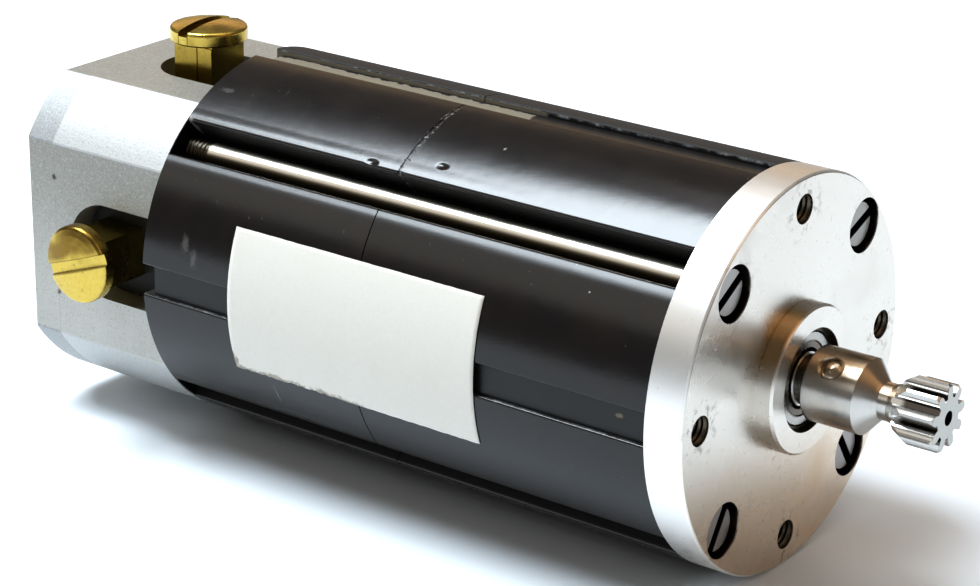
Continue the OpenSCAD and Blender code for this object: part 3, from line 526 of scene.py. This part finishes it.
# The heads are grey, with their slots painted black as painted shade
head_slot_shade = ease(tree, spot["X"], -0.54, -0.64)
head_tone_with_slot_shade = blend(tree, head_slot_shade, (0.30, 0.285, 0.27, 1), (0.035, 0.03, 0.025, 1))
colour = tint(tree, colour, head_tone_with_slot_shade, ease(tree, spot["X"], -2.6, -2.4))
colour_surface(tree, shader, colour, plus(tree, 0.24, times(tree, cloud, 0.14)))
raise_surface(tree, shader, noise(tree, spot["Place"], 4.0, 2.0), 0.003)
dress(rod_finish, "tie_rods")

# The threads: rolled on the rods' rear ends, where the last turns show before the rear end bell,
# and cut in the front end bell's four tapped holes, which take the motor's mounting screws.
# Each is a thin sleeve or lining over the plain solid. The hole linings are painted dark, as painted shade
# inside the holes.
thread_pitch = 0.00045
rows_per_turn = 8
hole_thread_x = (-0.0027, -0.0002)
hole_root_r = 0.00124
hole_crest_r = 0.00104
hole_fade_rows = 6
lining_t = 0.00001
rod_thread_x = (-0.0552, -0.0527)
rod_root_r = 0.00119
rod_crest_r = 0.00133
rod_fade_rows = 4


def clouded_finish(name, values, tones, grain, dullness, relief_mm=0.0):
    """A finish that drifts between two tones; grain gives the noise, dullness its least and its swing."""
    finish, tree, shader, spot = new_finish(name, values)
    cloud = noise(tree, spot["Place"], *grain)
    least, swing = dullness
    colour_surface(tree, shader, blend(tree, cloud, *tones), plus(tree, least, times(tree, cloud, swing)))
    if relief_mm:
        raise_surface(tree, shader, cloud, relief_mm)
    return finish


def add_piece(name, points, faces, finish, body):
    """Makes a smooth mesh piece, gives it its finish and lets it ride on a body."""
    mesh = bpy.data.meshes.new(name)
    mesh.from_pydata([tuple(p) for p in points], [], faces)
    mesh.update()
    mesh.polygons.foreach_set("use_smooth", [True] * len(mesh.polygons))
    piece = bpy.data.objects.new(name, mesh)
    bpy.context.scene.collection.objects.link(piece)
    mesh.materials.append(finish)
    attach(piece, body)
    return piece


def join_rings(order, steps, flip=False):
    """Faces between rings of points, in the order given; flip turns them over."""
    faces = []
    for a, b in zip(order, order[1:]):
        for k in range(steps):
            after = (k + 1) % steps
            face = (a * steps + k, b * steps + k, b * steps + after, a * steps + after)
            faces.append(face[:1] + face[:0:-1] if flip else face)
    return faces


def screw_ring(degrees, x, radii):
    """A ring of points about the axis of a screw, which stands on the bolt circle at an angle."""
    place = math.radians(degrees)
    centre = Vector((0, bolt_circle_r * math.cos(place), bolt_circle_r * math.sin(place)))
    ring = []
    for step, r in enumerate(radii):
        a = math.tau * step / len(radii)
        ring.append(centre + Vector((x, r * math.cos(a), r * math.sin(a))))
    return ring


def thread_radii(row, root_r, crest_r, fade, steps):
    """The radii round one row of a thread, which goes from root to crest once in each turn."""
    radii = []
    for step in range(steps):
        saw = abs(((row / rows_per_turn - step / steps) % 1.0) * 2 - 1)
        radii.append(root_r + (crest_r - root_r) * saw * fade)
    return radii


def threaded_lining(name, degrees, steps=24):
    """The thread of a tapped hole, as a thin ring with the thread on its inner side."""
    x_from, x_to = hole_thread_x
    rows = int((x_to - x_from) / thread_pitch * rows_per_turn)
    points = []
    for row in range(rows + 1):
        fade = min(1.0, (rows - row) / hole_fade_rows)
        radii = thread_radii(row, hole_root_r, hole_crest_r, fade, steps)
        points += screw_ring(degrees, x_from + (x_to - x_from) * row / rows, radii)
    for x in (x_to, x_from):
        points += screw_ring(degrees, x, [hole_root_r + lining_t] * steps)
    faces = join_rings(list(range(rows + 3)) + [0], steps)
    add_piece(name, points, faces, hole_finish, "housing")


def thread_sleeve(name, degrees, steps=20):
    """The thread of a rod, as a thin sleeve that fades out at both ends."""
    x_from, x_to = rod_thread_x
    rows = int((x_to - x_from) / thread_pitch * rows_per_turn)
    points = []
    for row in range(rows + 1):
        fade = min(1.0, row / rod_fade_rows, (rows - row) / rod_fade_rows)
        radii = thread_radii(row, rod_root_r, rod_crest_r, fade, steps)
        points += screw_ring(degrees, x_from + (x_to - x_from) * row / rows, radii)
    faces = join_rings(range(rows + 1), steps, flip=True)
    faces.append(tuple(range(steps - 1, -1, -1)))
    faces.append(tuple(rows * steps + k for k in range(steps)))
    add_piece(name, points, faces, rod_finish, "housing")


# Painted shade: the linings are dark brown inside the tapped holes
hole_shade_tones = ((0.08, 0.065, 0.045, 1), (0.18, 0.155, 0.12, 1))
hole_finish = clouded_finish("shaded_thread", {"Metallic": 1.0}, hole_shade_tones, (1.5, 3.0, 0.6), (0.3, 0.2))
for number, degrees in enumerate((90, 0, -90, 180)):
    threaded_lining("hole_thread_%d" % (number + 1), degrees)
for number, degrees in enumerate((135, 45, -45, -135)):
    thread_sleeve("rod_thread_%d" % (number + 1), degrees)

# The label: plain off-white paper, stuck round the left side over one magnet and two poles.
# It is blank. Its edges are nicked and dirty from handling, most of all at the lower rear.
label_x = (-0.0455, -0.0196)
label_angle = (156.5, 200.9)
label_r = 0.01679
paper_t = 0.00006
low_nick = 0.00003
high_nick_rear = 0.00018
high_nick_front = 0.00006
long_steps = 64
round_steps = 36
label_half_mm = (label_x[1] - label_x[0]) / 2 * 1000
label_middle_mm = (label_x[0] + label_x[1]) / 2 * 1000
label_half_angle = (label_angle[1] - label_angle[0]) / 2
label_middle_angle = (label_angle[0] + label_angle[1]) / 2

paper_finish, tree, shader, spot = new_finish("label_paper", {"Specular IOR Level": 0.3})
fibres = noise(tree, spot["Place"], 3.0, 5.0, 0.7)
colour = blend(tree, fibres, (0.67, 0.645, 0.59, 1), (0.76, 0.74, 0.685, 1))
from_middle = angle_from(tree, spot, label_middle_angle)
round_gap = minus(tree, label_half_angle, size_of(tree, from_middle))
long_gap = minus(tree, label_half_mm, away_from(tree, spot["X"], label_middle_mm))
edge_gap = calc(tree, "MINIMUM", times(tree, round_gap, math.radians(label_r * 1000)), long_gap)
smudge = noise(tree, spot["Place"], 1.3, 5.0, 0.75)
low_rear = times(tree, ease(tree, from_middle, 14.0, 20.0), ease(tree, spot["X"], -29.0, -36.0))
spread = times(tree, smudge, plus(tree, low_rear, 0.95))
grime = ease(tree, minus(tree, spread, edge_gap), 0.45, 0.8)
colour = tint(tree, colour, (0.22, 0.18, 0.14, 1), grime, 0.75)
faint = ease(tree, noise(tree, spot["Place"], 0.25, 3.0, 0.6), 0.5, 0.75)
colour = tint(tree, colour, (0.66, 0.60, 0.50, 1), faint, 0.15)
colour_surface(tree, shader, colour, plus(tree, 0.55, times(tree, fibres, 0.15)))
raise_surface(tree, shader, fibres, 0.01)

random.seed(11)
nick_low = [random.uniform(0, low_nick) for _ in range(long_steps + 1)]
nick_high = [random.uniform(0, high_nick_rear if i < long_steps / 2 else high_nick_front)
             for i in range(long_steps + 1)]
points = []
for layer in (0, 1):
    r = label_r + paper_t * layer
    for i in range(long_steps + 1):
        x = label_x[0] + (label_x[1] - label_x[0]) * i / long_steps
        for k in range(round_steps + 1):
            a = math.radians(label_angle[0] + (label_angle[1] - label_angle[0]) * k / round_steps)
            if k == 0:
                a += nick_low[i] / label_r
            if k == round_steps:
                a -= nick_high[i] / label_r
            points.append((x, r * math.cos(a), r * math.sin(a)))
faces = []
row = round_steps + 1
top = (long_steps + 1) * row
for i in range(long_steps):
    for k in range(round_steps):
        a, b, c, d = i * row + k, i * row + k + 1, (i + 1) * row + k + 1, (i + 1) * row + k
        faces.append((d, c, b, a))
        faces.append((top + a, top + b, top + c, top + d))
rim = [i * row for i in range(long_steps + 1)]
rim += [long_steps * row + k for k in range(1, row)]
rim += [i * row + round_steps for i in range(long_steps - 1, -1, -1)]
rim += [k for k in range(round_steps - 1, 0, -1)]
for a, b in zip(rim, rim[1:] + rim[:1]):
    faces.append((top + a, top + b, b, a))
label_sheet = add_piece("label_sheet", points, faces, paper_finish, "housing")
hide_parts("label")

# The rear end bell and its cover: aluminium bar with four milled flats, blasted to a dull even grey.
# The brush pockets are milled into two flats. The joint between bell and cover is a fine dark line,
# with two small pits in it, drawn as dark marks of painted shade. The bell's front face is painted black,
# as painted shade at the ends of the grooves.
bell_front_mm = -55.38
cover_joint_mm = -68.3

blasted_finish, tree, shader, spot = new_finish("blasted_aluminium", {"Metallic": 0.9})
cloud = noise(tree, spot["Place"], 0.4, 4.0, 0.6)
speckle = noise(tree, spot["Place"], 5.0, 4.0, 0.75)
# Painted reflection and shade: the grey is lighter low down and darker high up
colour = blend(tree, ease(tree, spot["Z"], -6.0, 8.0), (0.53, 0.52, 0.49, 1), (0.36, 0.35, 0.32, 1))
colour = tint(tree, colour, (0.18, 0.185, 0.18, 1), cloud, 0.25)
on_cover = ease(tree, spot["X"], cover_joint_mm + 0.02, cover_joint_mm - 0.06)
arc_tone = blend(tree, on_cover, (0.52, 0.525, 0.52, 1), (0.37, 0.38, 0.385, 1))
on_arc = ease(tree, spot["Radius"], body_r_mm - 0.15, body_r_mm - 0.07)
colour = tint(tree, colour, arc_tone, on_arc)
colour = tint(tree, colour, (0.58, 0.57, 0.55, 1), ease(tree, speckle, 0.5, 0.72, 0.0, 0.65))
colour = tint(tree, colour, (0.15, 0.15, 0.145, 1), ease(tree, speckle, 0.46, 0.30, 0.0, 0.5))
joint = ease(tree, away_from(tree, spot["X"], cover_joint_mm), 0.12, 0.04)
colour = tint(tree, colour, (0.3, 0.29, 0.27, 1), joint, 0.2)
# Painted shade: the two pits in the joint are dark marks
for angle in (157.5, -160.0):
    feeds = {"X": cover_joint_mm, "Angle": angle, "Long mm": 0.34, "Round mm": 0.42}
    colour = tint(tree, colour, (0.05, 0.045, 0.04, 1), use_effect(tree, smear, feeds)["Mask"], 0.85)
# Painted shade: the bell's front face is near black where it shows at the ends of the grooves
bell_front_shade = ease(tree, spot["X"], bell_front_mm - 0.04, bell_front_mm + 0.04)
off_arc = ease(tree, spot["Radius"], body_r_mm - 0.07, body_r_mm - 0.15)
colour = tint(tree, colour, (0.012, 0.012, 0.012, 1), bell_front_shade, off_arc)
colour_surface(tree, shader, colour, plus(tree, 0.5, times(tree, speckle, 0.15)))
raise_surface(tree, shader, speckle, 0.03)
dress(blasted_finish, "rear_end_bell", "rear_cover")

# The cover screws: four slotted steel screws that hold the rear cover, blackened against rust.
# The ring that holds the rear bearing on the shaft has the same finish.
screw_tones = ((0.04, 0.04, 0.045, 1), (0.12, 0.12, 0.12, 1))
screw_finish = clouded_finish(
    "black_oxide_steel", {"Metallic": 1.0}, screw_tones, (1.5, 3.0, 0.6), (0.35, 0.2))
dress(screw_finish, "cover_screws", "retaining_ring")

# The lead grommet: soft black rubber with a bore, moulded in one piece.
# It is pressed into the rear cover, where the leads go in.
rubber_tones = ((0.012, 0.012, 0.012, 1), (0.03, 0.03, 0.03, 1))
rubber_finish = clouded_finish(
    "grommet_rubber", {"Specular IOR Level": 0.3}, rubber_tones, (2.0, 4.0, 0.6), (0.6, 0.2), 0.02)
dress(rubber_finish, "lead_grommet")

# The brush insulators: blocks of black laminate, machined to size.
# Each fills its pocket to a little below the flat and keeps the brush holder off the metal.
insulator_finish, tree, shader, spot = new_finish("black_laminate", {"Specular IOR Level": 0.35})
cloud = noise(tree, spot["Place"], 1.2, 4.0, 0.6)
colour = blend(tree, cloud, (0.006, 0.006, 0.006, 1), (0.018, 0.017, 0.016, 1))
colour_surface(tree, shader, colour, plus(tree, 0.45, times(tree, cloud, 0.2)))
raise_surface(tree, shader, noise(tree, spot["Place"], 5.0, 3.0), 0.02)
dress(insulator_finish, "brush_insulator_top", "brush_insulator_side")

# The brush holders and caps: brass, folded to a square tube below and turned with a slot above.
# The brass has gone brown in patches. The edges of the slots are painted dark as painted shade, and one
# half of each cap's face is painted brown as a painted reflection.
brush_x = -0.0622
brush_x_mm = brush_x * 1000
slot_half_mm = 0.53
side_slot_turn = math.radians(19.5)


def brass(name, slot_way=None, half_reflection_share=0.0, patchy=0.7):
    """Tarnished brass; slot_way points across a cap's slot, half_reflection_share is the strength of a
    painted reflection on one half.
    """
    finish, tree, shader, spot = new_finish(name, {"Metallic": 1.0})
    patch = use_effect(tree, stains, {"Size mm": 3.0, "Cover": 0.5, "Softness": 0.25})["Mask"]
    olive = use_effect(tree, stains, {"Size mm": 2.2, "Cover": 0.46, "Softness": 0.2})["Mask"]
    dots = use_effect(tree, stains, {"Size mm": 0.5, "Cover": 0.36, "Softness": 0.06})["Mask"]
    fine = noise(tree, spot["Place"], 3.0, 4.0, 0.65)
    colour = blend(tree, fine, (0.48, 0.35, 0.07, 1), (0.66, 0.50, 0.13, 1))
    colour = tint(tree, colour, (0.26, 0.15, 0.03, 1), patch, patchy)
    colour = tint(tree, colour, (0.20, 0.17, 0.045, 1), olive, patchy * 0.85)
    colour = tint(tree, colour, (0.12, 0.08, 0.03, 1), dots, 0.6)
    if slot_way:
        across_feeds = {0: spot["Place"], 1: slot_way}
        across = add_node(tree, "VectorMath", across_feeds, operation="DOT_PRODUCT").outputs["Value"]
        beside = minus(tree, across, brush_x_mm * slot_way[0])
        # Painted reflection: one half of the cap's face is browner
        reflecting_half = ease(tree, beside, 0.3, 1.1)
        soft = ease(tree, noise(tree, spot["Place"], 0.5, 1.0, 0.4), 0.2, 0.6)
        colour = tint(tree, colour, (0.16, 0.09, 0.02, 1), reflecting_half, soft, half_reflection_share)
        # Painted shade: the edges of the slot are darker
        slot_rim_shade = ease(tree, away_from(tree, size_of(tree, beside), slot_half_mm), 0.12, 0.04)
        colour = tint(tree, colour, (0.10, 0.06, 0.02, 1), slot_rim_shade, 0.6)
    colour_surface(tree, shader, colour, plus(tree, 0.24, times(tree, patch, 0.14)))
    raise_surface(tree, shader, fine, 0.006)
    return finish


brass_finish = brass("tarnished_brass")
dress(brass_finish, "brush_holder_top", "brush_holder_side", "brush_plate_top", "brush_plate_side")
top_slot_way = (1.0, 0.0, 0.0)
side_slot_way = (-math.sin(side_slot_turn), 0.0, math.cos(side_slot_turn))
dress(brass("top_cap_brass", top_slot_way, 0.3, 0.3), "brush_cap_top")
dress(brass("side_cap_brass", side_slot_way, 0.85, 0.25), "brush_cap_side")

# The brushes: blocks of pressed carbon that run on the commutator and slide in the holders.
# Each has a brass plate on its outer end for the spring.
carbon_tones = ((0.03, 0.03, 0.032, 1), (0.08, 0.08, 0.085, 1))
carbon_finish = clouded_finish(
    "pressed_carbon", {"Specular IOR Level": 0.5}, carbon_tones, (5.0, 4.0, 0.7), (0.4, 0.2), 0.02)
dress(carbon_finish, "brush_top", "brush_side")

# The plain steel pieces: the shaft with its spacer and shim, ground bright,
# and the bowed washer in the rear cover that preloads the bearings.
steel_finish, tree, shader, spot = new_finish("ground_steel", {"Metallic": 1.0})
cloud = noise(tree, spot["Place"], 1.0, 4.0, 0.6)
colour = blend(tree, cloud, (0.60, 0.60, 0.60, 1), (0.76, 0.75, 0.73, 1))
colour_surface(tree, shader, colour, plus(tree, 0.18, times(tree, cloud, 0.14)))
raise_surface(tree, shader, use_effect(tree, turning, {"Per mm": 9.0})["Height"], 0.002)
dress(steel_finish, "shaft", "front_spacer", "rear_shim", "preload_washer")

# The brush springs: bright steel wire, wound to a coil with flat end turns.
# Each stands between plate and cap.
spring_foot = 0.01092
spring_head = 0.01474
spring_turns = 5
steps_per_turn = 36
coil_r = 0.00105
wire_r = 0.00014
wire_sides = 10


def coil_spring(name, outward, replaced):
    """A brush spring that stands outward from the shaft, in place of the plain solid named replaced."""
    steps = steps_per_turn * spring_turns
    forward = Vector((1, 0, 0))
    along = Vector(outward)
    sideways = along.cross(forward)
    rise = spring_head - spring_foot - 2 * wire_r
    points = []
    for step in range(steps + 1):
        turns = step / steps_per_turn
        middle_share = min(1, max(0, (turns - 1) / (spring_turns - 2)))
        flat_turns = min(turns, 1) + max(0, turns - spring_turns + 1)
        lift = spring_foot + wire_r + flat_turns * 2 * wire_r + middle_share * (rise - 4 * wire_r)
        out = math.cos(math.tau * turns) * forward + math.sin(math.tau * turns) * sideways
        for side in range(wire_sides):
            a = math.tau * side / wire_sides
            reach = coil_r + wire_r * math.cos(a)
            points.append(Vector((brush_x, 0, 0)) + out * reach + along * (lift + wire_r * math.sin(a)))
    faces = join_rings(range(steps + 1), wire_sides)
    faces.append(tuple(range(wire_sides)))
    faces.append(tuple(steps * wire_sides + k for k in range(wire_sides - 1, -1, -1)))
    coil = add_piece(name, points, faces, steel_finish, "housing")
    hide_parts(replaced)
    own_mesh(coil)


dress(steel_finish, "brush_spring_top", "brush_spring_side")
coil_spring("top_brush_coil", (0, 0, 1), "brush_spring_top")
coil_spring("side_brush_coil", (0, -1, 0), "brush_spring_side")

# The ball bearings: ground steel rings, pressed steel shields, polished balls and a stamped brass cage.
# They sit on the shaft and in the end bells. The shields by the shaft are painted dark, as painted shade
# under the pinion's hub.
ring_finish, tree, shader, spot = new_finish("bearing_steel", {"Metallic": 1.0})
cloud = noise(tree, spot["Place"], 1.2, 4.0, 0.6)
colour = blend(tree, cloud, (0.34, 0.33, 0.31, 1), (0.46, 0.45, 0.43, 1))
# Painted shade: inside the outer ring the shields are dark
colour = tint(tree, colour, (0.14, 0.12, 0.10, 1), ease(tree, spot["Radius"], 3.3, 3.1))
colour_surface(tree, shader, colour, plus(tree, 0.2, times(tree, cloud, 0.14)))
raise_surface(tree, shader, use_effect(tree, turning, {"Per mm": 9.0})["Height"], 0.002)
for end in ("front", "rear"):
    dress(ring_finish, end + "_bearing_outer", end + "_bearing_shields")
    dress(steel_finish, end + "_bearing_inner", end + "_bearing_balls")
    dress(brass_finish, end + "_bearing_cage")

# The armature: thin steel sheets stacked on the shaft and varnished, with skewed slots.
# Fibre discs close both ends, and enamelled copper wire is wound through the slots.
core_finish, tree, shader, spot = new_finish("varnished_laminations", {"Metallic": 0.7})
sheet_feeds = {"Vector": spot["Place"], "Scale": 0.9, "Distortion": 0.3}
sheets = add_node(tree, "TexWave", sheet_feeds, bands_direction="X").outputs["Fac"]
colour = blend(tree, sheets, (0.16, 0.15, 0.15, 1), (0.30, 0.29, 0.28, 1))
colour_surface(tree, shader, colour, plus(tree, 0.35, times(tree, sheets, 0.15)))
raise_surface(tree, shader, sheets, 0.02)
dress(core_finish, "armature_core")

fibre_tones = ((0.10, 0.22, 0.15, 1), (0.16, 0.30, 0.22, 1))
fibre_finish = clouded_finish(
    "fibre_disc", {"Specular IOR Level": 0.3}, fibre_tones, (2.0, 4.0, 0.7), (0.55, 0.2), 0.02)
dress(fibre_finish, "armature_end_insulators")

copper_values = {"Metallic": 0.8, "Coat Weight": 0.5, "Coat Roughness": 0.2}
copper_finish, tree, shader, spot = new_finish("enamelled_copper", copper_values)
wire_feeds = {"Vector": spot["Place"], "Scale": 1.4, "Distortion": 1.5}
wires = add_node(tree, "TexWave", wire_feeds, bands_direction="DIAGONAL").outputs["Fac"]
colour = blend(tree, wires, (0.22, 0.07, 0.02, 1), (0.50, 0.20, 0.07, 1))
colour_surface(tree, shader, colour, plus(tree, 0.3, times(tree, wires, 0.1)))
raise_surface(tree, shader, wires, 0.06)
dress(copper_finish, "armature_windings")

# The commutator: copper bars on a moulded hub, turned true on the shaft.
# The brushes leave a brown film on the bars.
bar_finish, tree, shader, spot = new_finish("brushed_copper_bars", {"Metallic": 1.0})
film = ease(tree, away_from(tree, spot["X"], brush_x_mm), 1.9, 1.3)
colour = blend(tree, film, (0.70, 0.36, 0.22, 1), (0.28, 0.14, 0.09, 1))
colour_surface(tree, shader, colour, plus(tree, 0.22, times(tree, noise(tree, spot["Place"], 2.0), 0.15)))
raise_surface(tree, shader, use_effect(tree, turning, {"Per mm": 8.0})["Height"], 0.004)
dress(bar_finish, "commutator_bars")

resin_tones = ((0.07, 0.03, 0.015, 1), (0.12, 0.055, 0.03, 1))
hub_finish = clouded_finish(
    "moulded_resin", {"Specular IOR Level": 0.4}, resin_tones, (2.0, 4.0, 0.6), (0.4, 0.2))
dress(hub_finish, "commutator_hub")

# The pinion: hub, neck and nine teeth cut from one piece of steel, polished by use.
# A round-ended steel pin goes through hub and shaft and keeps it on.
# The upper left of the hub is painted brown as a painted reflection, the end face is painted darker as
# painted shade, and the roots between the teeth are painted black as painted shade.
pinion_end_mm = 13.7
hub_end_mm = 9.4
teeth_from_mm = 10.2

pinion_values = {"Metallic": 1.0, "Anisotropic": 0.4, "Anisotropic Rotation": 0.25}
pinion_finish, tree, shader, spot = new_finish("polished_pinion_steel", pinion_values)
rings = use_effect(tree, turning, {"Per mm": 6.0})
cloud = noise(tree, spot["Place"], 0.9, 4.0, 0.6)
colour = blend(tree, cloud, (0.50, 0.49, 0.47, 1), (0.62, 0.61, 0.59, 1))
colour = tint(tree, colour, (0.35, 0.34, 0.32, 1), rings["Tone"], 0.2)
# Painted shade: the end face is darker than the rest of the steel
end_face_shade = ease(tree, spot["X"], pinion_end_mm - 0.04, pinion_end_mm + 0.02)
colour = tint(tree, colour, (0.40, 0.39, 0.37, 1), end_face_shade)
# Painted reflection: the upper left of the hub is browner
upper_left = band(tree, spot["Angle"], (50.0, 75.0), (158.0, 135.0))
on_hub = ease(tree, spot["X"], hub_end_mm + 0.2, hub_end_mm - 0.2)
colour = tint(tree, colour, (0.42, 0.28, 0.13, 1), upper_left, on_hub, 0.65)
# Painted shade: the roots between the teeth are black
between_teeth = ease(tree, spot["Radius"], 2.15, 1.85)
along_teeth = ease(tree, spot["X"], teeth_from_mm, teeth_from_mm + 0.6)
off_end = ease(tree, spot["X"], pinion_end_mm + 0.02, pinion_end_mm - 0.04)
colour = tint(tree, colour, (0.05, 0.04, 0.03, 1), between_teeth, along_teeth, off_end, 0.9)
colour_surface(tree, shader, colour, plus(tree, 0.17, times(tree, cloud, 0.14)))
raise_surface(tree, shader, rings["Height"], 0.004)
turn_sheen(tree, shader)
dress(pinion_finish, "pinion", "pinion_pin")
